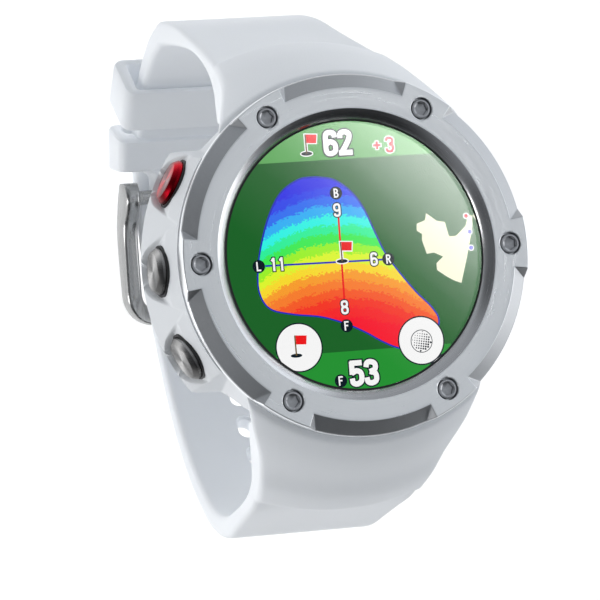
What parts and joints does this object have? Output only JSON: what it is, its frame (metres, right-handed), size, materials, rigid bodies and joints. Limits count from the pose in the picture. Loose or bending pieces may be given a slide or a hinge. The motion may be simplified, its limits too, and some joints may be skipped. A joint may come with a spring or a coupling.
{
  "type": "golf gps watch",
  "caption": "Wrist watch for golf with a round colour screen, a notched steel bezel held by screws, side push buttons and a closed rubber strap with a pin buckle.",
  "frame": {"origin": "centre of the case back's outer face", "axes": "+Z along the dial's axis, out of the glass; +Y to 12 o'clock along the strap; +X to 3 o'clock"},
  "size_m": [0.0494, 0.0721, 0.069],
  "materials": {
    "bezel_steel": "turned, with bead-blasted notches",
    "screw_steel": "satin",
    "buckle_steel": "satin, fine grain",
    "button_steel": "turned face, polished bevel",
    "button_red": "red anodised, polished bevel",
    "strap_rubber": "semi-matt white",
    "case_resin": "semi-matt white",
    "back_steel": "brushed",
    "glass": "polished",
    "screen": "lit screen",
    "black_rubber": "matt",
    "black_plastic": "matt",
    "board_green": "semi-gloss",
    "flex_amber": "semi-gloss",
    "antenna": "plain",
    "battery_foil": "satin",
    "inner_steel": "plain",
    "contact_gold": "plated"
  },
  "bodies": {
    "watch": {"bezel": "bezel_steel", "bezel_screws": "screw_steel", "lens": "glass", "lens_gasket": "black_rubber", "display_panel": "screen", "display_holder": "black_plastic", "display_flex": "flex_amber", "main_board": "board_green", "gps_antenna": "antenna", "battery": "battery_foil", "vibration_motor": "inner_steel", "case_body": "case_resin", "case_back": "back_steel", "back_gasket": "black_rubber", "back_screws": "screw_steel", "contact_block": "black_plastic", "charge_contacts": "contact_gold", "spring_upper": "inner_steel", "spring_middle": "inner_steel", "spring_lower": "inner_steel", "button_seals": "black_rubber", "button_switches": "black_plastic", "strap_upper": "strap_rubber", "strap_lower": "strap_rubber", "spring_bars": "inner_steel", "buckle_bar": "buckle_steel"},
    "upper_button": {"button_upper": "button_red", "clip_upper": "inner_steel"},
    "middle_button": {"button_middle": "button_steel", "clip_middle": "inner_steel"},
    "lower_button": {"button_lower": "button_steel", "clip_lower": "inner_steel"},
    "buckle": {"buckle_frame": "buckle_steel"},
    "tongue": {"buckle_tongue": "buckle_steel"},
    "keeper": {"keeper_free": "strap_rubber"}
  },
  "joints": [
    {"name": "upper_button_press", "type": "slide", "parent": "watch", "child": "upper_button", "axis": [0.8878, -0.4602, 0], "range_m": [0, 0.0008], "stiffness_N_per_m": 1500, "springref_m": -0.0006, "deforming": ["spring_upper"]},
    {"name": "middle_button_press", "type": "slide", "parent": "watch", "child": "middle_button", "axis": [1, 0, 0], "range_m": [0, 0.0008], "stiffness_N_per_m": 1500, "springref_m": -0.0006, "deforming": ["spring_middle"]},
    {"name": "lower_button_press", "type": "slide", "parent": "watch", "child": "lower_button", "axis": [0.8878, 0.4602, 0], "range_m": [0, 0.0008], "stiffness_N_per_m": 1500, "springref_m": -0.0006, "deforming": ["spring_lower"]},
    {"name": "buckle_hinge", "type": "hinge", "parent": "watch", "child": "buckle", "pos_m": [0, 0.0149, -0.049], "axis": [1, 0, 0], "range_deg": [-1.5, 2]},
    {"name": "tongue_hinge", "type": "hinge", "parent": "buckle", "child": "tongue", "pos_m": [0, 0.0149, -0.049], "axis": [1, 0, 0], "range_deg": [0, 2]},
    {"name": "keeper_slide", "type": "hinge", "parent": "watch", "child": "keeper", "pos_m": [0, 0.0142, -0.029], "axis": [1, 0, 0], "range_deg": [-4, 28]}
  ]
}
